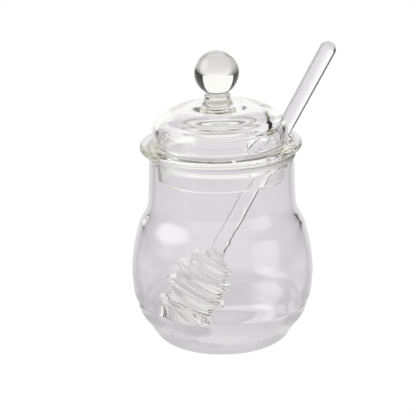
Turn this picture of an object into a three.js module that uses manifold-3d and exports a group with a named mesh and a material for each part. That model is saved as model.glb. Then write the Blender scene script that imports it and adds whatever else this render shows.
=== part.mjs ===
// Clear glass honey pot: a ringed jar, a domed lid with a ball knob and a notch, and a dipper
// that stands in the jar and leans out through the notch. Millimetres, +Z up.
// The origin is the middle of the jar's base, +Y points away from the viewer of the front.
import * as THREE from 'three';
import { mergeVertices } from 'three/addons/utils/BufferGeometryUtils.js';
import Module from 'manifold-3d';

const wasm = await Module();
wasm.setup();

// Jar
const JAR_HEIGHT = 89.1;
const JAR_WALL = 2.6;
const JAR_FLOOR = 2.2;
const JAR_FLOOR_RADIUS = 23.2;
const JAR_SIDES = 40;
// Outline of the jar without its rings, [radius, height] from the foot to the neck.
const JAR_OUTLINE = [
  [23.0, 0.0],
  [26.1, 1.0],
  [29.2, 3.3],
  [33.3, 8.5],
  [36.6, 13.8],
  [38.9, 19.0],
  [40.0, 23.5],
  [40.8, 29.0],
  [41.0, 33.5],
  [40.6, 40.0],
  [39.7, 46.0],
  [38.3, 52.0],
  [37.1, 56.0],
  [35.3, 59.2],
  [34.0, 62.0],
  [33.3, 65.5],
  [33.0, 70.0],
  [32.7, 78.0],
  [32.6, 85.0],
];
const RING_PITCH = 10.5;
const RING_FIRST_GROOVE = 8.5;
const RING_DEPTH_LOW = 0.9;
const RING_DEPTH_HIGH = 0.15;
// Share of the rings' relief that the inner face follows.
const RING_INSIDE_SHARE = 0.85;
const RING_SOFTNESS = 0.03;
const RING_MEAN = 0.65;
const RINGS_FADE_FROM = 50.0;
const RINGS_FADE_TO = 56.0;
const LIP_BEAD = 0.6;
const LIP_FROM_ANGLE = -40;

// Lid, measured from the underside of its flange
const LID_REST_HEIGHT = 90.3;
const LID_SHIFT = -0.3;
const LID_TILT = 1.5;
const LID_WALL = 2.2;
const LID_SIDES = 44;
const FLANGE_RADIUS = 36.5;
const FLANGE_THICKNESS = 3.0;
const COLLAR_RADIUS = 29.0;
const COLLAR_DEPTH = 13.1;
const COLLAR_INSIDE_TOP = -1.5;
const FLANGE_FLAT_RADIUS = 32.8;
const FLANGE_FILLET_RADIUS = 31.0;
const FLANGE_FILLET_RISE = 0.3;
// Outline of the dome, [radius, height] from its foot to the middle.
const DOME_OUTLINE = [
  [29.9, 4.0],
  [30.4, 6.0],
  [30.4, 8.5],
  [29.9, 10.7],
  [28.9, 12.1],
  [27.8, 13.5],
  [26.1, 15.2],
  [23.7, 16.8],
  [19.8, 18.4],
  [15.0, 19.6],
  [9.0, 20.4],
  [0.0, 20.7],
];

// Knob
const KNOB_SHIFT = -0.8;
const KNOB_SIDES = 28;
const BALL_RADIUS = 10.05;
const BALL_HEIGHT = 34.65;
const KNOB_FOOT_RADIUS = 7.3;
const KNOB_FOOT_TOP = 21.2;
const KNOB_NECK_RADIUS = 6.1;
const KNOB_ROOT = 19.4;
const KNOB_FOOT_BEVEL = 0.8;
const KNOB_NECK_RISE = 1.2;

// Notch in the lid, seen along its own direction
const NOTCH_AZIMUTH = 24.5;
const NOTCH_TOP = 12.4;
const NOTCH_HALF_WIDTH = 8.0;
const NOTCH_STRAIGHT_TO = 5.0;
const NOTCH_FLARE_HALF_WIDTH = 19.5;
const NOTCH_CORNER = 5.0;
// The flare's two curve handles: how far the lower one leans in, and the height of each.
const NOTCH_FLARE_LEAN = 2.0;
const NOTCH_FLARE_LOW = -6.0;
const NOTCH_FLARE_HIGH = -1.0;
const NOTCH_BELOW = 1.0;
const NOTCH_FROM_AXIS = 8.0;
// The notch ends at this radius, so the flange's rim stays whole.
const NOTCH_REACH = 33.6;
const NOTCH_CURVE_POINTS = 8;

// Dipper, measured along its own axis from the bottom of its head
const DIPPER_FOOT = new THREE.Vector3(-19.4, 0.0, 9.0);
const DIPPER_TILT = 29.15;
const DIPPER_AZIMUTH = 11.1;
const DIPPER_SIDES = 30;
const DIPPER_LENGTH = 144.5;
const ROD_END_RADIUS = 3.75;
// Each ridge of the head, [radius, height], and the valleys between them.
const RIDGES = [
  [10.3, -0.5],
  [13.8, 5.2],
  [15.0, 14.7],
  [13.9, 22.9],
  [10.3, 29.8],
];
const VALLEY_RADII = [9.2, 11.7, 11.7, 9.1];
const VALLEY_HALF_FLAT = 0.5;
const RIDGE_ROUND = 1.7;
const RIDGE_ANGLE = 80;
const HEAD_END_RADIUS = 7.5;
const HEAD_END_HEIGHT = -2.0;
// The shoulder from the top ridge to the rod, [radius, height].
const SHOULDER = [
  [5.6, 32.7],
  [4.1, 34.4],
  [3.5, 37.7],
];

// Degrees between two points of a round
const ROUND_STEP = 36;
const BALL_STEP = 15;

const GLASS_TINT = 0xf3f7f0;
// Points nearer than this are one point.
const MERGE_DISTANCE = 1e-4;

function glass() {
  return new THREE.MeshStandardMaterial({ color: GLASS_TINT, roughness: 0.05, metalness: 0.0 });
}

// Points on an arc about (radius, height), angles in degrees from the outward direction.
function arc(radius, height, size, from, to, step) {
  const points = [];
  const steps = Math.ceil(Math.abs(to - from) / step);
  for (let i = 0; i <= steps; i += 1) {
    const angle = THREE.MathUtils.degToRad(from + ((to - from) * i) / steps);
    points.push(new THREE.Vector2(radius + size * Math.cos(angle), height + size * Math.sin(angle)));
  }
  return points;
}

function smoothOutline(pairs) {
  return new THREE.SplineCurve(pairs.map(([radius, height]) => new THREE.Vector2(radius, height)));
}

// The outline moved inwards by a wall, one point for each of its own points.
function innerOutline(curve, wall) {
  const points = [];
  const steps = curve.points.length - 1;
  for (let i = 0; i <= steps; i += 1) {
    const point = curve.getPoint(i / steps);
    const along = curve.getTangent(i / steps);
    points.push(new THREE.Vector2(point.x - wall * along.y, point.y + wall * along.x));
  }
  return points;
}

// A turned solid about +Z from points that run up the outside and down the inside.
function turned(points, sides) {
  const geometry = new THREE.LatheGeometry(points, sides);
  geometry.rotateX(Math.PI / 2);
  return solid(geometry);
}

function solid(geometry) {
  geometry.deleteAttribute('normal');
  geometry.deleteAttribute('uv');
  const merged = mergeVertices(geometry, MERGE_DISTANCE);
  const mesh = new wasm.Mesh({
    numProp: 3,
    vertProperties: merged.attributes.position.array,
    triVerts: Uint32Array.from(merged.index.array),
  });
  return new wasm.Manifold(mesh);
}

function part(name, body) {
  const made = body.getMesh();
  const geometry = new THREE.BufferGeometry();
  geometry.setAttribute('position', new THREE.BufferAttribute(made.vertProperties, made.numProp));
  geometry.setIndex(new THREE.BufferAttribute(made.triVerts, 1));
  geometry.computeVertexNormals();
  const mesh = new THREE.Mesh(geometry, glass());
  mesh.name = name;
  return mesh;
}

// How far the beehive rings stand out at a height of the jar.
function ringRelief(height) {
  const phase = Math.sin((Math.PI * (height - RING_FIRST_GROOVE)) / RING_PITCH);
  const second = RING_FIRST_GROOVE + RING_PITCH;
  const rise = THREE.MathUtils.smoothstep(height, second, second + RING_PITCH);
  const depth = THREE.MathUtils.lerp(RING_DEPTH_LOW, RING_DEPTH_HIGH, rise);
  const start = THREE.MathUtils.smoothstep(height, 0, RING_FIRST_GROOVE / 2);
  const end = 1 - THREE.MathUtils.smoothstep(height, RINGS_FADE_FROM, RINGS_FADE_TO);
  return depth * start * end * (Math.sqrt(phase * phase + RING_SOFTNESS) - RING_MEAN);
}

function ringed(points, share) {
  return points.map((point) => {
    const relief = share * ringRelief(point.y);
    return new THREE.Vector2(point.x + relief, point.y);
  });
}

function jarBody() {
  const coarse = smoothOutline(JAR_OUTLINE);
  const outside = coarse.getPoints(2 * (JAR_OUTLINE.length - 1));
  const fine = new THREE.SplineCurve(outside);
  const neck = outside[outside.length - 1].x;
  const lip = (JAR_WALL + LIP_BEAD) / 2;
  const inside = ringed(innerOutline(fine, JAR_WALL), RING_INSIDE_SHARE).reverse();
  const points = [
    new THREE.Vector2(0, 0),
    ...ringed(outside, 1),
    ...arc(neck + LIP_BEAD - lip, JAR_HEIGHT - lip, lip, LIP_FROM_ANGLE, 180, ROUND_STEP),
    ...inside.filter((point) => point.y > JAR_FLOOR + 1),
    new THREE.Vector2(JAR_FLOOR_RADIUS, JAR_FLOOR),
    new THREE.Vector2(0, JAR_FLOOR),
  ];
  return turned(points, JAR_SIDES);
}

function knob() {
  const joint = Math.asin(KNOB_NECK_RADIUS / BALL_RADIUS);
  const from = THREE.MathUtils.radToDeg(joint) - 90;
  const points = [
    new THREE.Vector2(0, KNOB_ROOT),
    new THREE.Vector2(KNOB_FOOT_RADIUS, KNOB_ROOT),
    new THREE.Vector2(KNOB_FOOT_RADIUS, KNOB_FOOT_TOP - KNOB_FOOT_BEVEL),
    new THREE.Vector2(KNOB_FOOT_RADIUS - KNOB_FOOT_BEVEL, KNOB_FOOT_TOP),
    new THREE.Vector2(KNOB_NECK_RADIUS, KNOB_FOOT_TOP + KNOB_NECK_RISE),
  ];
  const ball = arc(0, BALL_HEIGHT, BALL_RADIUS, from, 90, BALL_STEP);
  ball[ball.length - 1].x = 0;
  points.push(...ball);
  return turned(points, KNOB_SIDES).translate([KNOB_SHIFT, 0, 0]);
}

// One side of the arch from the flare at its bottom to the top corner; side is 1 or -1.
function archSide(side, bottom) {
  const low = new THREE.Vector2(side * NOTCH_FLARE_HALF_WIDTH, bottom);
  const high = new THREE.Vector2(side * NOTCH_HALF_WIDTH, NOTCH_STRAIGHT_TO);
  const lowHandle = new THREE.Vector2(low.x - side * NOTCH_FLARE_LEAN, NOTCH_FLARE_LOW);
  const highHandle = new THREE.Vector2(high.x, NOTCH_FLARE_HIGH);
  const flare = new THREE.CubicBezierCurve(low, lowHandle, highHandle, high);
  return flare.getPoints(NOTCH_CURVE_POINTS);
}

// The arch that is cut through collar, flange and dome, long in the notch's direction.
function notchCutter() {
  const corner = NOTCH_TOP - NOTCH_CORNER;
  const inset = NOTCH_HALF_WIDTH - NOTCH_CORNER;
  const bottom = -COLLAR_DEPTH - NOTCH_BELOW;
  const arch = new THREE.Shape([
    ...archSide(1, bottom),
    ...arc(inset, corner, NOTCH_CORNER, 0, 90, BALL_STEP),
    ...arc(-inset, corner, NOTCH_CORNER, 90, 180, BALL_STEP),
    ...archSide(-1, bottom).reverse(),
  ]);
  const geometry = new THREE.ExtrudeGeometry(arch, { depth: FLANGE_RADIUS, bevelEnabled: false });
  geometry.translate(0, 0, -NOTCH_FROM_AXIS - FLANGE_RADIUS);
  geometry.rotateX(Math.PI / 2);
  geometry.rotateZ(THREE.MathUtils.degToRad(NOTCH_AZIMUTH - 90));
  const reach = new THREE.CylinderGeometry(NOTCH_REACH, NOTCH_REACH, FLANGE_RADIUS * 2, LID_SIDES);
  reach.rotateX(Math.PI / 2);
  return solid(geometry).intersect(solid(reach));
}

function lidBody() {
  const dome = smoothOutline(DOME_OUTLINE);
  const inside = innerOutline(dome, LID_WALL).reverse();
  inside[0].x = 0;
  const half = LID_WALL / 2;
  const edge = FLANGE_THICKNESS / 2;
  const points = [
    ...inside,
    new THREE.Vector2(COLLAR_RADIUS - LID_WALL, COLLAR_INSIDE_TOP),
    ...arc(COLLAR_RADIUS - half, half - COLLAR_DEPTH, half, -180, 0, ROUND_STEP),
    new THREE.Vector2(COLLAR_RADIUS, 0),
    ...arc(FLANGE_RADIUS - edge, edge, edge, -90, 90, ROUND_STEP),
    new THREE.Vector2(FLANGE_FLAT_RADIUS, FLANGE_THICKNESS),
    new THREE.Vector2(FLANGE_FILLET_RADIUS, FLANGE_THICKNESS + FLANGE_FILLET_RISE),
    ...dome.points,
  ];
  const blown = turned(points, LID_SIDES).add(knob()).subtract(notchCutter());
  return blown.rotate([0, -LID_TILT, 0]).translate([LID_SHIFT, 0, LID_REST_HEIGHT]);
}

function dipperHead() {
  const points = [];
  RIDGES.forEach(([radius, height], index) => {
    const edge = radius - RIDGE_ROUND;
    points.push(...arc(edge, height, RIDGE_ROUND, -RIDGE_ANGLE, RIDGE_ANGLE, ROUND_STEP));
    if (index < VALLEY_RADII.length) {
      const middle = (height + RIDGES[index + 1][1]) / 2;
      points.push(new THREE.Vector2(VALLEY_RADII[index], middle - VALLEY_HALF_FLAT));
      points.push(new THREE.Vector2(VALLEY_RADII[index], middle + VALLEY_HALF_FLAT));
    }
  });
  return points;
}

function dipperBody() {
  const end = arc(0, DIPPER_LENGTH - ROD_END_RADIUS, ROD_END_RADIUS, 0, 90, ROUND_STEP);
  end[end.length - 1].x = 0;
  const points = [
    new THREE.Vector2(0, HEAD_END_HEIGHT),
    new THREE.Vector2(HEAD_END_RADIUS, HEAD_END_HEIGHT),
    ...dipperHead(),
    ...SHOULDER.map(([radius, height]) => new THREE.Vector2(radius, height)),
    ...end,
  ];
  return turned(points, DIPPER_SIDES)
    .rotate([0, DIPPER_TILT, 0])
    .rotate([0, 0, DIPPER_AZIMUTH])
    .translate([DIPPER_FOOT.x, DIPPER_FOOT.y, DIPPER_FOOT.z]);
}

const honeyPot = new THREE.Group();
honeyPot.name = 'honey_pot';
honeyPot.add(part('jar', jarBody()));
honeyPot.add(part('lid', lidBody()));
honeyPot.add(part('dipper', dipperBody()));

export default honeyPot;
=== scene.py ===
"""Clear glass honey pot with a notched lid and a ridged dipper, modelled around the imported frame."""

import math

import bpy
from bpy.props import FloatProperty, FloatVectorProperty, IntProperty, PointerProperty
from mathutils import Matrix, Quaternion, Vector


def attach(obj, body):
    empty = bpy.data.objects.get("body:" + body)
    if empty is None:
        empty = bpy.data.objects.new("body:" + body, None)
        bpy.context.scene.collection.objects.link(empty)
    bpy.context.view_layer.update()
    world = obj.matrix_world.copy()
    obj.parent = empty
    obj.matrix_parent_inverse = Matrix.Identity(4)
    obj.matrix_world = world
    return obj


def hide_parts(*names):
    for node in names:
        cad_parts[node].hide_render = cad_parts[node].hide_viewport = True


bl_info = {
    "name": "Glass Honey Pot",
    "version": (1, 0, 0),
    "blender": (4, 5, 0),
    "location": "View3D > Sidebar > Honey Pot",
    "description": "Models a clear glass honey pot with its lid and dipper",
    "category": "Add Mesh",
}

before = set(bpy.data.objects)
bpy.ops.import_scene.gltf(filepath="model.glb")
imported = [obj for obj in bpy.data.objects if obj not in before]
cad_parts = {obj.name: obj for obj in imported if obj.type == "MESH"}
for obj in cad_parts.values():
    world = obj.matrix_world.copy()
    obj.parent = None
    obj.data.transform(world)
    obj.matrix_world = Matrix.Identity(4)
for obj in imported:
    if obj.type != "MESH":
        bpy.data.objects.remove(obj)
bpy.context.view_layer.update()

MM = 0.001
UP = Vector((0, 0, 1))
RIGHT = Vector((1, 0, 0))

# Jar without its rings, [radius, height] in millimetres from the foot to the neck.
JAR_OUTLINE = [
    (23.0, 0.0), (26.1, 1.0), (29.2, 3.3), (33.3, 8.5), (36.6, 13.8), (38.9, 19.0), (40.0, 23.5),
    (40.8, 29.0), (41.0, 33.5), (40.6, 40.0), (39.7, 46.0), (38.3, 52.0), (37.1, 56.0), (35.3, 59.2),
    (34.0, 62.0), (33.3, 65.5), (33.0, 70.0), (32.7, 78.0), (32.6, 85.0),
]
# Dome of the lid, [radius, height] above the flange's underside.
DOME_OUTLINE = [
    (29.9, 4.0), (30.4, 6.0), (30.4, 8.5), (29.9, 10.7), (28.9, 12.1), (27.8, 13.5), (26.1, 15.2),
    (23.7, 16.8), (19.8, 18.4), (15.0, 19.6), (9.0, 20.4), (0.0, 20.7),
]
# Foot and neck of the knob, between the dome and the ball.
KNOB_NECK = [
    (7.7, 20.54), (7.2, 20.62), (6.8, 20.76), (6.45, 21.0), (6.25, 21.35), (6.2, 21.8), (6.15, 22.3),
    (5.95, 22.75), (5.6, 23.05), (5.45, 23.25), (5.6, 23.5), (5.85, 23.9), (5.95, 24.4), (5.85, 24.8),
    (5.6, 25.1), (5.2, 25.4), (4.9, 25.55), (4.75, 25.65),
]
# Ridges of the dipper's head, [radius, height], and the valleys between them.
RIDGES = [(10.3, -0.5), (13.8, 5.2), (15.0, 14.7), (13.9, 22.9), (10.3, 29.8)]
VALLEY_RADII = [9.2, 11.7, 11.7, 9.1]
# Underside of the jar, [radius, height], from its middle to the ring it stands on.
BASE = [(0, 0.5), (8, 0.48), (15, 0.35), (19.5, 0.08), (21.0, 0)]
# Underside of the flange, [distance from the collar, height], and its top, [radius, height].
UNDER_FLANGE = [(0.0, -0.6), (0.2, -0.15), (0.7, 0.0)]
FLANGE_TOP = [(32.8, 3.0), (31.7, 3.12), (30.8, 3.4), (30.2, 3.75)]

# Points in each span of an outline, segments of the spin, and the distance, in metres, of merged points.
JAR_POINTS, DOME_POINTS = 10, 8
JAR_SEGMENTS, LID_SEGMENTS, DIPPER_SEGMENTS = 160, 144, 96
SAME_POINT = 2e-6
# Angles, in degrees, up to which an edge looks smooth.
SMOOTH_ANGLE, LID_SMOOTH_ANGLE = 60.0, 50.0

# Heights where the jar's rings fade out, and the share of a ring that lies inside the outline.
RINGS_FADE = (50.0, 56.0)
RING_MEAN = 0.65
# Round between the jar's wall and floor: where it starts, its width, its two handles and its points.
FILLET_RISE, FILLET_WIDTH = 1.4, 3.0
FILLET_START, FILLET_END, FILLET_POINTS = (-1.6, -1.5), (3.2, 0), 8
FLOOR_RADII = (15, 8, 0)

# Radii between which the ripple of the dome's wall comes up and goes again.
RIPPLE_START, RIPPLE_END = (4.0, 10.0), (26.0, 29.0)
# Step from dome to collar: height where the collar starts, lengths of the handles, and points.
COLLAR_TOP, STEP_DOWN, STEP_UP, STEP_POINTS = -2.0, -2.5, 2.0, 6
# Radius where the dome meets the knob's foot, and height where it leaves the flange.
KNOB_FOOT_RADIUS, DOME_FOOT = 8.2, 4.0
# What moves with the knob: points above a height and within a radius, and all above a second height.
MOVED_FROM, MOVED_RADIUS, MOVED_NECK = 20.55, 8.0, 23.0

# Arch of the notch: where its sides are upright, the handles of its flare, and its points.
ARCH_FOOT, FLARE_IN, FLARE_LOW, FLARE_HIGH, FLARE_POINTS = 5.0, 2.0, -6.0, -1.0, 12
# Reach of the cutter along the notch, and how far it goes below the collar.
CUTTER_START, CUTTER_LENGTH, CUTTER_BELOW = 8.0, 36.0, 1.0
REACH_SEGMENTS, REACH_DEPTH = 180, 80
# Cut edges: points merged before and after the rounding, least angle, and steps of the round.
MERGE_BEFORE, MERGE_AFTER, CUT_ANGLE, CUT_STEPS = 0.02, 0.001, 50, 3

# Dipper: inner point of the head's flat end, angle and step of a ridge's round, and the valleys' curves.
HEAD_END_INNER = 4.0
RIDGE_ANGLE, RIDGE_STEP = 80, 16
VALLEY_HANDLE, VALLEY_DROP, VALLEY_POINTS = 0.5, 0.1, 6
# Shoulder from the head to the rod: its handles and points, and heights where the rod starts and goes on.
SHOULDER_START, SHOULDER_END, SHOULDER_POINTS = (-4.5, 1.0), 3.5, 12
ROD_START, ROD_MIDDLE = 38.0, 90.0


class JarSizes(bpy.types.PropertyGroup):
    """Sizes of the jar, in millimetres."""
    height: FloatProperty(name="Height", description="Base to the top of the lip", default=89.1)
    wall: FloatProperty(name="Wall", description="Thickness of the glass", default=2.6)
    floor: FloatProperty(name="Floor", description="Thickness of the floor", default=2.2)
    floor_radius: FloatProperty(name="Floor radius", description="Where the flat floor ends", default=23.2)
    lip_bead: FloatProperty(name="Lip bead", description="How far the lip stands out", default=0.6)
    ring_pitch: FloatProperty(name="Ring pitch", description="Height from ring to ring", default=10.5)
    first_groove: FloatProperty(name="First groove", description="Height of the lowest groove", default=8.5)
    ring_low: FloatProperty(name="Low rings", description="Depth of the lower grooves", default=0.9)
    ring_high: FloatProperty(name="High rings", description="Depth of the upper grooves", default=0.15)
    ring_inside: FloatProperty(name="Rings inside", description="Share on the inner face", default=0.4)
    ring_soft: FloatProperty(name="Ring softness", description="How round the grooves are", default=0.012)


class LidSizes(bpy.types.PropertyGroup):
    """Sizes of the lid, in millimetres."""
    rest_height: FloatProperty(name="Rest height", description="Underside of the flange", default=90.3)
    shift: FloatProperty(name="Shift", description="Sideways place on the jar", default=-0.3)
    tilt: FloatProperty(name="Tilt", description="Rise of its right side, in degrees", default=1.5)
    wall: FloatProperty(name="Wall", description="Thickness of the glass", default=2.2)
    ripple: FloatProperty(name="Ripple", description="Unevenness of the blown dome's wall", default=0.3)
    ripple_pitch: FloatProperty(name="Ripple pitch", description="Width of one ripple", default=21.0)
    flange_radius: FloatProperty(name="Flange radius", description="Outer radius", default=36.5)
    flange_thickness: FloatProperty(name="Flange thickness", description="Height of its rim", default=3.0)
    collar_radius: FloatProperty(name="Collar radius", description="Ring inside the neck", default=29.0)
    collar_depth: FloatProperty(name="Collar depth", description="How far it reaches down", default=13.1)
    knob_shift: FloatProperty(name="Knob shift", description="How far the knob is off centre", default=-0.8)
    ball_radius: FloatProperty(name="Ball radius", description="Size of the knob", default=10.05)
    ball_height: FloatProperty(name="Ball height", description="Middle of the ball", default=34.65)
    notch_azimuth: FloatProperty(name="Notch azimuth", description="Its direction in degrees", default=24.5)
    notch_half: FloatProperty(name="Notch half width", description="Half the arch's width", default=8.0)
    notch_flare: FloatProperty(name="Notch flare", description="Half width at its bottom", default=19.5)
    notch_top: FloatProperty(name="Notch top", description="Height of the arch", default=12.4)
    notch_corner: FloatProperty(name="Notch corner", description="Radius of its corners", default=5.0)
    notch_reach: FloatProperty(name="Notch reach", description="Where the rim stays whole", default=33.6)
    cut_round: FloatProperty(name="Cut round", description="Rounding of the notch's edges", default=0.45)


class DipperSizes(bpy.types.PropertyGroup):
    """Sizes and place of the dipper, in millimetres and degrees."""
    foot: FloatVectorProperty(name="Foot", description="Start of its axis", default=(-19.4, 0.0, 9.0))
    tilt: FloatProperty(name="Tilt", description="Lean from upright", default=29.15)
    azimuth: FloatProperty(name="Azimuth", description="Direction it leans to", default=11.1)
    length: FloatProperty(name="Length", description="Along its axis", default=144.5)
    rod_radius: FloatProperty(name="Rod radius", description="Near the head", default=3.5)
    end_radius: FloatProperty(name="End radius", description="At the top end", default=3.75)
    ridge_round: FloatProperty(name="Ridge round", description="Radius of a ridge's edge", default=1.7)
    head_end_radius: FloatProperty(name="Head end radius", description="Flat end of the head", default=7.5)
    head_end_height: FloatProperty(name="Head end", description="Where the head ends", default=-2.0)


class GlassLook(bpy.types.PropertyGroup):
    """Finish of the glass."""
    index: FloatProperty(name="Index", description="Refractive index", default=1.47)
    tint: FloatVectorProperty(name="Tint", description="Colour of thick glass", subtype="COLOR",
                              default=(0.95, 0.955, 0.72))
    jar_density: FloatProperty(name="Jar density", description="Strength of its tint", default=5.0)
    lid_density: FloatProperty(name="Lid density", description="Strength of its tint", default=9.0)
    dipper_density: FloatProperty(name="Dipper density", description="Strength of its tint", default=2.0)
    wave_size: FloatProperty(name="Wave size", description="Scale of the slow waves", default=60.0)
    wave_height: FloatProperty(name="Wave height", description="Height of the waves", default=0.00001,
                               unit="LENGTH")
    smear: FloatProperty(name="Smear", description="Roughness of the smears", default=0.002)
    rod_wave_height: FloatProperty(name="Rod wave height", description="Height of the dipper's waves",
                                   default=0.000004, unit="LENGTH")
    rod_smear: FloatProperty(name="Rod smear", description="Roughness of the dipper's smears",
                             default=0.001)


class StudioSettings(bpy.types.PropertyGroup):
    """Camera and light."""
    distance: FloatProperty(name="Distance", description="Camera to pot", default=1.2, unit="LENGTH")
    elevation: FloatProperty(name="Elevation", description="Camera angle in degrees", default=17.5)
    roll: FloatProperty(name="Roll", description="Lean of the picture in degrees", default=0.39)
    aim_height: FloatProperty(name="Aim height", description="Height looked at", default=0.061,
                              unit="LENGTH")
    scale: FloatProperty(name="Scale", description="Picture points per metre", default=2212.0)
    aim_x: FloatProperty(name="Aim across", description="Picture point of the axis", default=221.55)
    aim_y: FloatProperty(name="Aim down", description="Picture point of the aim", default=209.2)
    paper: FloatVectorProperty(name="Paper", description="Its colour as the glass shows it",
                               subtype="COLOR", default=(0.99, 0.965, 1.0))
    # Painted shade: the paper glows dimmer beside the pot and brighter towards the back.
    paper_near: FloatProperty(name="Paper near", description="Its brightness beside the pot", default=0.75)
    paper_far: FloatProperty(name="Paper far", description="Its brightness at the back", default=1.0)
    fade_from: FloatProperty(name="Fade from", description="Where it starts to brighten", default=0.25,
                             unit="LENGTH")
    # Painted shadow of the pot on the paper: how dark it is, and where it starts and stops fading.
    shade: FloatProperty(name="Shade", description="Share of its light left under the pot", default=0.82)
    shade_from: FloatProperty(name="Shade from", description="Where the pot's shade starts to fade",
                              default=0.03, unit="LENGTH")
    shade_reach: FloatProperty(name="Shade reach", description="Where the pot's shade ends", default=0.14,
                               unit="LENGTH")
    # Painted ring of light on the paper round the base.
    light_ring: FloatProperty(name="Light ring", description="Light that the base gathers around it",
                              default=0.35)
    # Painted shade on the paper beside the pot, at its side edges and at its front.
    side_shade: FloatProperty(name="Side shade", description="Share of its light left beside the pot",
                              default=0.78)
    edge_shade: FloatProperty(name="Edge shade", description="Share of its light left at its side edges",
                              default=0.3)
    front_shade: FloatProperty(name="Front shade", description="Share of its light left at its front",
                               default=0.4)
    paper_left: FloatProperty(name="Paper left", description="Its left edge", default=-0.54,
                              unit="LENGTH")
    paper_right: FloatProperty(name="Paper right", description="Its right edge", default=0.38,
                               unit="LENGTH")
    paper_front: FloatProperty(name="Paper front", description="Its front edge", default=-0.9,
                               unit="LENGTH")
    paper_back: FloatProperty(name="Paper back", description="Where it rises", default=0.8, unit="LENGTH")
    back_top: FloatProperty(name="Backdrop top", description="Angle up to its upper edge, in degrees",
                            default=38.0)
    soften: FloatProperty(name="Soft edge", description="Width of the backdrop's edges", default=0.05)
    dark_room: FloatProperty(name="Dark room", description="Brightness of the unlit sides", default=0.02)
    room_light: FloatProperty(name="Room light", description="Room behind the camera", default=0.85)
    bounces: IntProperty(name="Bounces", description="How often light may turn in the glass", default=40)


# Soft lights: direction, half width in degrees at full and at no light, and brightness.
SOFTBOXES = (
    ((-0.86, -0.08, 0.50), 12.0, 34.0, 2.8),
    ((0.86, -0.50, 0.10), 12.0, 28.0, 1.5),
)
# Painted ring of light round the base: radii where it comes up and where it goes, in metres.
RING_RISE, RING_FALL = (0.026, 0.034), (0.036, 0.046)
# Painted shade to the sides of the pot: distance of the wedge's tip before the axis, and its angles in
# radians.
WEDGE_TIP, WEDGE_ANGLES = 0.06, (0.38, 0.56)
# Where painted shade makes the paper darker to its sides and to its front, in metres.
SIDE_EDGES, FRONT_EDGES = (0.15, 0.42), (-0.05, -0.35)
# How far a direction turns back to the camera where the room's light starts and where it is full.
ROOM_TURN = (-0.3, -0.7)
# The waves in the glass are drawn out sideways; the smears are even.
WAVE_STRETCH, WAVE_DETAIL, SMEAR_SCALE = (0.25, 0.25, 1.0), 1.0, 30.0

IMAGE_SIZE = 416
SENSOR = 36.0


def deselect_all():
    if bpy.context.mode != "OBJECT":
        bpy.ops.object.mode_set(mode="OBJECT")
    bpy.ops.object.select_all(action="DESELECT")


def smoothstep(value, low, high):
    share = min(max((value - low) / (high - low), 0.0), 1.0)
    return share * share * (3 - 2 * share)


def through(points, per_span):
    """Points of a smooth curve through the given ones, each with the curve's direction there."""
    ends = [points[0]] + list(points) + [points[-1]]
    found = []
    for i in range(len(points) - 1):
        a, b, c, d = (Vector(p) for p in ends[i:i + 4])
        last = i == len(points) - 2
        for k in range(per_span + (1 if last else 0)):
            t = k / per_span
            m, n = (c - a) / 2, (d - b) / 2
            place = (b * (2 * t ** 3 - 3 * t ** 2 + 1) + m * (t ** 3 - 2 * t ** 2 + t)
                     + c * (3 * t ** 2 - 2 * t ** 3) + n * (t ** 3 - t ** 2))
            along = (b * (6 * t ** 2 - 6 * t) + m * (3 * t ** 2 - 4 * t + 1)
                     + c * (6 * t - 6 * t ** 2) + n * (3 * t ** 2 - 2 * t))
            found.append((place, along.normalized()))
    return found


def arc(radius, height, size, start, stop, step=10.0):
    """Points of a round about (radius, height), with angles in degrees from outwards."""
    count = max(1, math.ceil(abs(stop - start) / step))
    points = []
    for i in range(count + 1):
        angle = math.radians(start + (stop - start) * i / count)
        points.append(Vector((radius + size * math.cos(angle), height + size * math.sin(angle))))
    return points


def bezier(a, b, c, d, count):
    """Inner points of a curve from a to d with handles b and c."""
    points = []
    for i in range(1, count):
        t = i / count
        points.append(a * (1 - t) ** 3 + b * 3 * t * (1 - t) ** 2 + c * 3 * t * t * (1 - t) + d * t ** 3)
    return points


def moved_in(curve, wall):
    """The curve's points moved inwards by the thickness of the wall at each of them."""
    return [Vector((p.x - wall(p) * d.y, p.y + wall(p) * d.x)) for p, d in curve]


def chain(places):
    """Extrudes a chain of vertices from place to place and leaves it selected in edit mode."""
    deselect_all()
    start = places[0]
    bpy.ops.mesh.primitive_plane_add(size=MM, location=start)
    piece = bpy.context.object
    bpy.ops.object.transform_apply(location=True, rotation=True, scale=True)
    bpy.ops.object.mode_set(mode="EDIT")
    bpy.ops.mesh.select_all(action="SELECT")
    bpy.ops.mesh.merge(type="CENTER")
    for place in places[1:]:
        bpy.ops.mesh.extrude_vertices_move(TRANSFORM_OT_translate={"value": place - start})
        start = place
    bpy.ops.mesh.select_all(action="SELECT")
    return piece


def turn(name, profile, origin, axis, segments):
    """Spins a profile about an axis into a closed body."""
    axis = axis.normalized()
    side = (RIGHT - axis * RIGHT.dot(axis)).normalized()
    piece = chain([origin + side * (point.x * MM) + axis * (point.y * MM) for point in profile])
    piece.name = piece.data.name = name
    bpy.ops.mesh.spin(steps=segments, angle=2 * math.pi, center=origin, axis=axis)
    bpy.ops.mesh.select_all(action="SELECT")
    bpy.ops.mesh.remove_doubles(threshold=SAME_POINT)
    bpy.ops.mesh.normals_make_consistent(inside=False)
    bpy.ops.object.mode_set(mode="OBJECT")
    return piece


def settle(piece, node, material, angle=SMOOTH_ANGLE):
    """Smooths a finished piece, gives it its glass and ties it to the frame."""
    deselect_all()
    piece.select_set(True)
    bpy.context.view_layer.objects.active = piece
    bpy.ops.object.shade_smooth_by_angle(angle=math.radians(angle))
    piece.data.materials.clear()
    piece.data.materials.append(material)
    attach(piece, "root")
    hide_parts(node)


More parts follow.
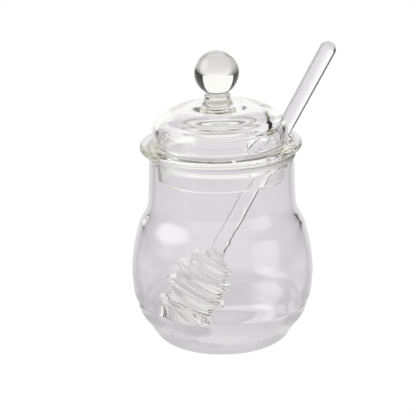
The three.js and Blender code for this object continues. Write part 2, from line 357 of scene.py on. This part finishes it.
def fire_polish_group():
    """Slow waves and faint smears that all the glass shares."""
    group = bpy.data.node_groups.get("fire_polish")
    if group:
        return group
    group = bpy.data.node_groups.new("fire_polish", "ShaderNodeTree")
    group.interface.new_socket("Wave size", in_out="INPUT", socket_type="NodeSocketFloat")
    group.interface.new_socket("Smear", in_out="INPUT", socket_type="NodeSocketFloat")
    group.interface.new_socket("Height", in_out="OUTPUT", socket_type="NodeSocketFloat")
    group.interface.new_socket("Roughness", in_out="OUTPUT", socket_type="NodeSocketFloat")
    nodes, links = group.nodes, group.links
    given = nodes.new("NodeGroupInput")
    result = nodes.new("NodeGroupOutput")
    place = nodes.new("ShaderNodeTexCoord")
    stretch = nodes.new("ShaderNodeMapping")
    stretch.inputs["Scale"].default_value = WAVE_STRETCH
    links.new(place.outputs["Object"], stretch.inputs["Vector"])
    waves = nodes.new("ShaderNodeTexNoise")
    waves.inputs["Detail"].default_value = WAVE_DETAIL
    links.new(stretch.outputs["Vector"], waves.inputs["Vector"])
    links.new(given.outputs["Wave size"], waves.inputs["Scale"])
    links.new(waves.outputs["Fac"], result.inputs["Height"])
    smears = nodes.new("ShaderNodeTexNoise")
    smears.inputs["Scale"].default_value = SMEAR_SCALE
    links.new(place.outputs["Object"], smears.inputs["Vector"])
    scale = nodes.new("ShaderNodeMath")
    scale.operation = "MULTIPLY"
    links.new(smears.outputs["Fac"], scale.inputs[0])
    links.new(given.outputs["Smear"], scale.inputs[1])
    links.new(scale.outputs[0], result.inputs["Roughness"])
    return group


def glass_material(name, density, wave_height, smear):
    """Clear glass whose tint shows where it is thick."""
    look = bpy.context.scene.honey_glass
    material = bpy.data.materials.new(name)
    material.use_nodes = True
    nodes, links = material.node_tree.nodes, material.node_tree.links
    shader = nodes["Principled BSDF"]
    shader.inputs["Base Color"].default_value = (1, 1, 1, 1)
    shader.inputs["IOR"].default_value = look.index
    shader.inputs["Transmission Weight"].default_value = 1.0
    shader.inputs["Metallic"].default_value = 0.0
    polish = nodes.new("ShaderNodeGroup")
    polish.node_tree = fire_polish_group()
    polish.inputs["Wave size"].default_value = look.wave_size
    polish.inputs["Smear"].default_value = smear
    bump = nodes.new("ShaderNodeBump")
    bump.inputs["Strength"].default_value = 1.0
    bump.inputs["Distance"].default_value = wave_height
    links.new(polish.outputs["Height"], bump.inputs["Height"])
    links.new(bump.outputs["Normal"], shader.inputs["Normal"])
    links.new(polish.outputs["Roughness"], shader.inputs["Roughness"])
    absorb = nodes.new("ShaderNodeVolumeAbsorption")
    absorb.inputs["Color"].default_value = (*look.tint, 1)
    absorb.inputs["Density"].default_value = density
    links.new(absorb.outputs["Volume"], nodes["Material Output"].inputs["Volume"])
    return material


def node(tree, kind, **values):
    """Adds a shader node and sets its properties."""
    made = tree.nodes.new(kind)
    for name, value in values.items():
        setattr(made, name, value)
    return made


def floor_material(studio):
    """Pale floor: plain white to the eye; where the glass shows it, a soft grey glow painted with light and
    shade: the pot's painted shadow, a painted ring of light round its base, painted shade to its sides and
    edges, and dimmer near the pot than at the back.
    """
    material = bpy.data.materials.new("pale_floor")
    material.use_nodes = True
    tree = material.node_tree
    tree.nodes.remove(tree.nodes["Principled BSDF"])
    path = node(tree, "ShaderNodeLightPath")
    seen = node(tree, "ShaderNodeEmission")
    seen.inputs["Color"].default_value = (1, 1, 1, 1)
    place = node(tree, "ShaderNodeNewGeometry")
    parts = node(tree, "ShaderNodeSeparateXYZ")
    tree.links.new(place.outputs["Position"], parts.inputs["Vector"])
    # Painted shade: the paper's glow is dimmer beside the pot and brighter towards the back.
    level = ramp(tree, parts.outputs["Y"], studio.fade_from, studio.paper_back,
                 studio.paper_near, studio.paper_far)
    apart = node(tree, "ShaderNodeVectorMath", operation="LENGTH")
    tree.links.new(place.outputs["Position"], apart.inputs[0])
    # Painted shadow of the pot: the paper's glow is darker close to its axis.
    shade = ramp(tree, apart.outputs["Value"], studio.shade_from, studio.shade_reach, studio.shade, 1.0)
    level = times(tree, level, shade)
    # Painted ring of light round the base, where gathered light would fall.
    rise = ramp(tree, apart.outputs["Value"], *RING_RISE, 0.0, studio.light_ring)
    fall = ramp(tree, apart.outputs["Value"], *RING_FALL, 1.0, 0.0)
    level = times(tree, level, plus(tree, times(tree, rise, fall), 1.0))
    # Painted shade to the sides of the pot and at the paper's edges.
    level = times(tree, level, sides_of_paper(tree, studio, parts))
    glow = node(tree, "ShaderNodeEmission")
    glow.inputs["Color"].default_value = (*studio.paper, 1)
    tree.links.new(level, glow.inputs["Strength"])
    mix = node(tree, "ShaderNodeMixShader")
    tree.links.new(path.outputs["Is Camera Ray"], mix.inputs["Fac"])
    tree.links.new(glow.outputs["Emission"], mix.inputs[1])
    tree.links.new(seen.outputs["Emission"], mix.inputs[2])
    tree.links.new(mix.outputs[0], tree.nodes["Material Output"].inputs["Surface"])
    return material


def sides_of_paper(tree, studio, place):
    """The share of light left on the paper by painted shade to the sides of the pot and at the paper's own
    edges.
    """
    apart = node(tree, "ShaderNodeMath", operation="ABSOLUTE")
    tree.links.new(place.outputs["X"], apart.inputs[0])
    angle = times(tree, apart.outputs[0], plus(tree, place.outputs["Y"], WEDGE_TIP), "ARCTAN2")
    wedge = ramp(tree, angle, *WEDGE_ANGLES, 1.0, studio.side_shade)
    edge = ramp(tree, apart.outputs[0], *SIDE_EDGES, 1.0, studio.edge_shade)
    front = ramp(tree, place.outputs["Y"], *FRONT_EDGES, 1.0, studio.front_shade)
    return times(tree, times(tree, wedge, edge), front)


def ramp(tree, source, low, high, least, most):
    """A smooth rise of a value between two limits."""
    rise = node(tree, "ShaderNodeMapRange", interpolation_type="SMOOTHSTEP")
    for name, value in (("From Min", low), ("From Max", high), ("To Min", least), ("To Max", most)):
        rise.inputs[name].default_value = value
    tree.links.new(source, rise.inputs["Value"])
    return rise.outputs["Result"]


def times(tree, first, second, operation="MULTIPLY"):
    """The product of two values, or what another operation makes of them."""
    made = node(tree, "ShaderNodeMath", operation=operation)
    tree.links.new(first, made.inputs[0])
    tree.links.new(second, made.inputs[1])
    return made.outputs[0]


def plus(tree, source, amount, operation="ADD"):
    """A value with a fixed amount added, or held against it by another operation."""
    made = node(tree, "ShaderNodeMath", operation=operation)
    tree.links.new(source, made.inputs[0])
    made.inputs[1].default_value = amount
    return made.outputs[0]


def backdrop(tree, studio, across, away, up):
    """The white cloth behind the pot, as wide as the paper's back edge looks from the pot."""
    slope = times(tree, across, away, "DIVIDE")
    left_end, right_end = studio.paper_left / studio.paper_back, studio.paper_right / studio.paper_back
    left = ramp(tree, slope, left_end - studio.soften, left_end, 0.0, 1.0)
    right = ramp(tree, slope, right_end + studio.soften, right_end, 0.0, 1.0)
    ahead = ramp(tree, away, 0.0, studio.soften, 0.0, studio.paper_far)
    top = math.sin(math.radians(studio.back_top))
    under = ramp(tree, up, top + studio.soften, top, 0.0, 1.0)
    return times(tree, times(tree, left, right), times(tree, ahead, under))


def softbox(tree, direction, aim, full, none, glow):
    """A soft round light in one direction."""
    facing = node(tree, "ShaderNodeVectorMath", operation="DOT_PRODUCT")
    tree.links.new(direction, facing.inputs[0])
    facing.inputs[1].default_value = Vector(aim).normalized()
    edge, middle = math.cos(math.radians(none)), math.cos(math.radians(full))
    return ramp(tree, facing.outputs["Value"], edge, middle, 0.0, glow)


def studio_world(studio):
    """White backdrop, soft lights and a dim room for the glass to show, and plain white to the camera."""
    world = bpy.data.worlds.new("studio")
    world.use_nodes = True
    tree = world.node_tree
    place = node(tree, "ShaderNodeTexCoord")
    direction = place.outputs["Generated"]
    parts = node(tree, "ShaderNodeSeparateXYZ")
    tree.links.new(direction, parts.inputs["Vector"])
    across, away, up = (parts.outputs[name] for name in "XYZ")
    light = ramp(tree, away, *ROOM_TURN, 0.0, studio.room_light)
    light = times(tree, light, backdrop(tree, studio, across, away, up), "MAXIMUM")
    for aim, full, none, glow in SOFTBOXES:
        light = times(tree, light, softbox(tree, direction, aim, full, none, glow), "MAXIMUM")
    light = plus(tree, light, studio.dark_room, "MAXIMUM")
    glow = tree.nodes["Background"]
    tree.links.new(light, glow.inputs["Color"])
    plain = node(tree, "ShaderNodeBackground")
    plain.inputs["Color"].default_value = (1, 1, 1, 1)
    path = node(tree, "ShaderNodeLightPath")
    mix = node(tree, "ShaderNodeMixShader")
    tree.links.new(path.outputs["Is Camera Ray"], mix.inputs["Fac"])
    tree.links.new(glow.outputs[0], mix.inputs[1])
    tree.links.new(plain.outputs[0], mix.inputs[2])
    tree.links.new(mix.outputs[0], tree.nodes["World Output"].inputs["Surface"])
    return world


def ring_relief(sizes, height):
    """How far the rings stand out at a height."""
    wave = math.sin(math.pi * (height - sizes.first_groove) / sizes.ring_pitch)
    second = sizes.first_groove + sizes.ring_pitch
    rise = smoothstep(height, second, second + sizes.ring_pitch)
    depth = sizes.ring_low + (sizes.ring_high - sizes.ring_low) * rise
    ends = smoothstep(height, 0, sizes.first_groove / 2) * (1 - smoothstep(height, *RINGS_FADE))
    return depth * ends * (math.sqrt(wave * wave + sizes.ring_soft) - RING_MEAN)


def ringed(sizes, points, share=1.0):
    """The points with a share of the rings' relief."""
    return [Vector((p.x + share * ring_relief(sizes, p.y), p.y)) for p in points]


def jar_profile(sizes):
    """The jar's outline, from the middle of its base over the lip to the middle of its floor."""
    curve = through(JAR_OUTLINE, JAR_POINTS)
    outside = ringed(sizes, [p for p, _ in curve])
    inside = ringed(sizes, moved_in(curve, lambda p: sizes.wall), sizes.ring_inside)
    inside = [p for p in reversed(inside) if p.y > sizes.floor + FILLET_RISE]
    lip = (sizes.wall + sizes.lip_bead) / 2
    neck = outside[-1].x
    rim = arc(neck + sizes.lip_bead - lip, sizes.height - lip, lip, -40, 180)
    corner = inside[-1]
    floor_edge = Vector((sizes.floor_radius - FILLET_WIDTH, sizes.floor))
    fillet = bezier(corner, corner + Vector(FILLET_START), floor_edge + Vector(FILLET_END), floor_edge,
                    FILLET_POINTS)
    base = [Vector(p) for p in BASE]
    floor = [floor_edge] + [Vector((radius, sizes.floor)) for radius in FLOOR_RADII]
    return base + outside + rim + inside + fillet + floor


def dome_wall(sizes, radius):
    """Thickness of the dome's glass at a radius, with the slow ripple that blowing leaves."""
    window = smoothstep(radius, *RIPPLE_START) * (1 - smoothstep(radius, *RIPPLE_END))
    return sizes.wall + sizes.ripple * window * math.sin(2 * math.pi * radius / sizes.ripple_pitch)


def lid_profile(sizes):
    """The lid's outline, from the middle of the dome's inner face round the flange to the ball's top."""
    dome = through(DOME_OUTLINE, DOME_POINTS)
    inside = moved_in(reversed(dome), lambda p: dome_wall(sizes, p.x))
    inside[0].x = 0.0
    half, edge = sizes.wall / 2, sizes.flange_thickness / 2
    collar_inside = Vector((sizes.collar_radius - sizes.wall, COLLAR_TOP))
    foot = inside[-1]
    step = bezier(foot, foot + Vector((0, STEP_DOWN)), collar_inside + Vector((0, STEP_UP)), collar_inside,
                  STEP_POINTS)
    collar = arc(sizes.collar_radius - half, half - sizes.collar_depth, half, -180, 0, 15)
    under = [Vector((sizes.collar_radius + apart, height)) for apart, height in UNDER_FLANGE]
    rim = arc(sizes.flange_radius - edge, edge, edge, -90, 90, 15)
    top = [Vector(p) for p in FLANGE_TOP]
    outside = [p for p, _ in dome if p.x > KNOB_FOOT_RADIUS and p.y > DOME_FOOT]
    knob = [Vector(p) for p in KNOB_NECK]
    joint = math.degrees(math.asin(KNOB_NECK[-1][0] / sizes.ball_radius)) - 90
    ball = arc(0, sizes.ball_height, sizes.ball_radius, joint + 1, 90, 4)
    ball[-1].x = 0.0
    return inside + step + [collar_inside] + collar + under + rim + top + outside + knob + ball


def dipper_profile(sizes):
    """The dipper's outline, from the middle of the head's flat end to the tip of the rod."""
    size = sizes.ridge_round
    flat_end = (0, HEAD_END_INNER, sizes.head_end_radius)
    points = [Vector((radius, sizes.head_end_height)) for radius in flat_end]
    for i, (radius, height) in enumerate(RIDGES):
        if i:
            bottom = Vector((VALLEY_RADII[i - 1], (RIDGES[i - 1][1] + height) / 2))
            low = arc(radius - size, height, size, -RIDGE_ANGLE, -RIDGE_ANGLE)[0]
            reach, drop = low.x - bottom.x, low.y - bottom.y
            points.append(bottom)
            points += bezier(bottom, bottom + Vector((0, VALLEY_HANDLE * drop)),
                             low + Vector((-VALLEY_HANDLE * reach, -VALLEY_DROP)), low, VALLEY_POINTS)
        points += arc(radius - size, height, size, -RIDGE_ANGLE, RIDGE_ANGLE, RIDGE_STEP)
        if i < len(VALLEY_RADII):
            high = points[-1]
            bottom = Vector((VALLEY_RADII[i], (RIDGES[i + 1][1] + height) / 2))
            reach, drop = high.x - bottom.x, bottom.y - high.y
            points += bezier(high, high + Vector((-VALLEY_HANDLE * reach, VALLEY_DROP)),
                             bottom - Vector((0, VALLEY_HANDLE * drop)), bottom, VALLEY_POINTS)
    shoulder = points[-1]
    rod = Vector((sizes.rod_radius, ROD_START))
    points += bezier(shoulder, shoulder + Vector(SHOULDER_START), rod - Vector((0, SHOULDER_END)), rod,
                     SHOULDER_POINTS)
    points += [rod, Vector((sizes.rod_radius, ROD_MIDDLE))]
    end = arc(0, sizes.length - sizes.end_radius, sizes.end_radius, 0, 90, 10)
    end[-1].x = 0.0
    return points + end


class HONEYPOT_OT_jar(bpy.types.Operator):
    """Add the ringed jar"""
    bl_idname = "honeypot.jar"
    bl_label = "Add Jar"

    def execute(self, context):
        look = context.scene.honey_glass
        jar = turn("jar_body", jar_profile(context.scene.honey_jar), Vector(), UP, JAR_SEGMENTS)
        glass = glass_material("jar_glass", look.jar_density, look.wave_height, look.smear)
        settle(jar, "jar", glass)
        return {"FINISHED"}


class HONEYPOT_OT_lid(bpy.types.Operator):
    """Add the domed lid with its knob and notch"""
    bl_idname = "honeypot.lid"
    bl_label = "Add Lid"

    def execute(self, context):
        sizes, look = context.scene.honey_lid, context.scene.honey_glass
        lid = turn("lid_body", lid_profile(sizes), Vector(), UP, LID_SEGMENTS)
        self.move_knob(lid, sizes)
        cutter = self.notch_cutter(sizes)
        deselect_all()
        bpy.context.view_layer.objects.active = lid
        lid.select_set(True)
        cut = lid.modifiers.new("notch", "BOOLEAN")
        cut.operation = "DIFFERENCE"
        cut.solver = "EXACT"
        cut.object = cutter
        bpy.ops.object.modifier_apply(modifier=cut.name)
        bpy.data.objects.remove(cutter)
        self.round_cut(lid, sizes)
        lid.data.transform(Matrix.Translation((sizes.shift * MM, 0, sizes.rest_height * MM))
                           @ Matrix.Rotation(math.radians(-sizes.tilt), 4, "Y"))
        glass = glass_material("lid_glass", look.lid_density, look.wave_height, look.smear)
        settle(lid, "lid", glass, LID_SMOOTH_ANGLE)
        return {"FINISHED"}

    @staticmethod
    def move_knob(lid, sizes):
        """Slides the knob a little off the middle of the dome."""
        bpy.ops.object.mode_set(mode="EDIT")
        bpy.ops.mesh.select_all(action="DESELECT")
        bpy.ops.object.mode_set(mode="OBJECT")
        for vertex in lid.data.vertices:
            radius, height = math.hypot(vertex.co.x, vertex.co.y) / MM, vertex.co.z / MM
            vertex.select = height > MOVED_FROM and (radius < MOVED_RADIUS or height > MOVED_NECK)
        bpy.ops.object.mode_set(mode="EDIT")
        bpy.ops.transform.translate(value=(sizes.knob_shift * MM, 0, 0))
        bpy.ops.object.mode_set(mode="OBJECT")

    @staticmethod
    def round_cut(lid, sizes):
        """Rounds the sharp edges that the notch leaves in the glass."""
        bpy.ops.object.mode_set(mode="EDIT")
        bpy.ops.mesh.select_all(action="SELECT")
        bpy.ops.mesh.remove_doubles(threshold=MERGE_BEFORE * MM)
        bpy.ops.mesh.select_mode(type="EDGE")
        bpy.ops.mesh.select_all(action="DESELECT")
        bpy.ops.mesh.edges_select_sharp(sharpness=math.radians(CUT_ANGLE))
        bpy.ops.mesh.bevel(offset=sizes.cut_round * MM, segments=CUT_STEPS, clamp_overlap=False)
        bpy.ops.mesh.select_mode(type="VERT")
        bpy.ops.mesh.select_all(action="SELECT")
        bpy.ops.mesh.remove_doubles(threshold=MERGE_AFTER * MM)
        bpy.ops.mesh.normals_make_consistent(inside=False)
        bpy.ops.object.mode_set(mode="OBJECT")

    @staticmethod
    def notch_cutter(sizes):
        """The arch, long in the notch's direction, that cuts through collar, flange and dome."""
        bottom = -sizes.collar_depth - CUTTER_BELOW
        corner = sizes.notch_top - sizes.notch_corner
        inset = sizes.notch_half - sizes.notch_corner
        low, high = Vector((sizes.notch_flare, bottom)), Vector((sizes.notch_half, ARCH_FOOT))
        flare = bezier(low, Vector((low.x - FLARE_IN, FLARE_LOW)), Vector((high.x, FLARE_HIGH)), high,
                       FLARE_POINTS)
        right = [low] + flare + [high] + arc(inset, corner, sizes.notch_corner, 0, 90, 7.5)
        points = right + [Vector((-p.x, p.y)) for p in reversed(right)]
        direction = math.radians(sizes.notch_azimuth)
        along = Vector((math.cos(direction), math.sin(direction), 0))
        across = Vector((-along.y, along.x, 0))
        near = along * (CUTTER_START * MM)
        cutter = chain([near + across * (p.x * MM) + UP * (p.y * MM) for p in points])
        bpy.ops.mesh.edge_face_add()
        bpy.ops.mesh.extrude_region_move(TRANSFORM_OT_translate={"value": along * (CUTTER_LENGTH * MM)})
        bpy.ops.mesh.select_all(action="SELECT")
        bpy.ops.mesh.normals_make_consistent(inside=False)
        bpy.ops.object.mode_set(mode="OBJECT")
        bpy.ops.mesh.primitive_cylinder_add(vertices=REACH_SEGMENTS, radius=sizes.notch_reach * MM,
                                            depth=REACH_DEPTH * MM)
        reach = bpy.context.object
        bpy.context.view_layer.objects.active = cutter
        keep = cutter.modifiers.new("reach", "BOOLEAN")
        keep.operation = "INTERSECT"
        keep.solver = "EXACT"
        keep.object = reach
        bpy.ops.object.modifier_apply(modifier=keep.name)
        bpy.data.objects.remove(reach)
        return cutter


class HONEYPOT_OT_dipper(bpy.types.Operator):
    """Add the dipper that leans out through the notch"""
    bl_idname = "honeypot.dipper"
    bl_label = "Add Dipper"

    def execute(self, context):
        sizes, look = context.scene.honey_dipper, context.scene.honey_glass
        tilt, azimuth = math.radians(sizes.tilt), math.radians(sizes.azimuth)
        axis = Vector((math.sin(tilt) * math.cos(azimuth), math.sin(tilt) * math.sin(azimuth),
                       math.cos(tilt)))
        dipper = turn("dipper_rod", dipper_profile(sizes), Vector(sizes.foot) * MM, axis, DIPPER_SEGMENTS)
        glass = glass_material("dipper_glass", look.dipper_density, look.rod_wave_height, look.rod_smear)
        settle(dipper, "dipper", glass)
        return {"FINISHED"}


class HONEYPOT_OT_studio(bpy.types.Operator):
    """Add the pale floor, the soft light and the camera"""
    bl_idname = "honeypot.studio"
    bl_label = "Add Studio"

    def execute(self, context):
        deselect_all()
        studio = context.scene.honey_studio
        width, depth = studio.paper_right - studio.paper_left, studio.paper_back - studio.paper_front
        middle = ((studio.paper_left + studio.paper_right) / 2,
                  (studio.paper_front + studio.paper_back) / 2, 0)
        bpy.ops.mesh.primitive_plane_add(size=1.0, location=middle)
        floor = bpy.context.object
        floor.name = floor.data.name = "floor"
        floor.scale = (width, depth, 1.0)
        bpy.ops.object.transform_apply(location=True, rotation=False, scale=True)
        floor.data.materials.append(floor_material(studio))
        self.light(context)
        self.camera(context)
        return {"FINISHED"}

    @staticmethod
    def light(context):
        studio = context.scene.honey_studio
        context.scene.world = studio_world(studio)
        context.scene.view_settings.view_transform = "Standard"
        cycles = context.scene.cycles
        cycles.max_bounces = cycles.transmission_bounces = studio.bounces
        cycles.glossy_bounces = studio.bounces

    @staticmethod
    def camera(context):
        studio = context.scene.honey_studio
        rise = math.radians(studio.elevation)
        aim = Vector((0, 0, studio.aim_height))
        place = aim + studio.distance * Vector((0, -math.cos(rise), math.sin(rise)))
        bpy.ops.object.camera_add(location=place)
        camera = bpy.context.object
        camera.name = "camera"
        camera.rotation_mode = "QUATERNION"
        level = (aim - place).to_track_quat("-Z", "Y")
        camera.rotation_quaternion = level @ Quaternion((0, 0, 1), -math.radians(studio.roll))
        camera.data.sensor_width = SENSOR
        camera.data.lens = SENSOR * studio.scale * studio.distance / IMAGE_SIZE
        middle = (IMAGE_SIZE - 1) / 2
        camera.data.shift_x = -(studio.aim_x - middle) / IMAGE_SIZE
        camera.data.shift_y = (studio.aim_y - middle) / IMAGE_SIZE
        context.scene.camera = camera


class HONEYPOT_PT_panel(bpy.types.Panel):
    """Lists the pieces of the honey pot"""
    bl_idname = "HONEYPOT_PT_panel"
    bl_label = "Honey Pot"
    bl_space_type = "VIEW_3D"
    bl_region_type = "UI"
    bl_category = "Honey Pot"

    def draw(self, context):
        for operator in OPERATORS:
            self.layout.operator(operator.bl_idname)


GROUPS = {
    "honey_jar": JarSizes,
    "honey_lid": LidSizes,
    "honey_dipper": DipperSizes,
    "honey_glass": GlassLook,
    "honey_studio": StudioSettings,
}
OPERATORS = (HONEYPOT_OT_jar, HONEYPOT_OT_lid, HONEYPOT_OT_dipper, HONEYPOT_OT_studio)


def register():
    for name, group in GROUPS.items():
        bpy.utils.register_class(group)
        setattr(bpy.types.Scene, name, PointerProperty(type=group))
    for operator in OPERATORS:
        bpy.utils.register_class(operator)
    bpy.utils.register_class(HONEYPOT_PT_panel)


def unregister():
    bpy.utils.unregister_class(HONEYPOT_PT_panel)
    for operator in reversed(OPERATORS):
        bpy.utils.unregister_class(operator)
    for name, group in reversed(GROUPS.items()):
        delattr(bpy.types.Scene, name)
        bpy.utils.unregister_class(group)


def main():
    register()
    bpy.ops.honeypot.jar()
    bpy.ops.honeypot.lid()
    bpy.ops.honeypot.dipper()
    bpy.ops.honeypot.studio()


if __name__ == "__main__":
    main()
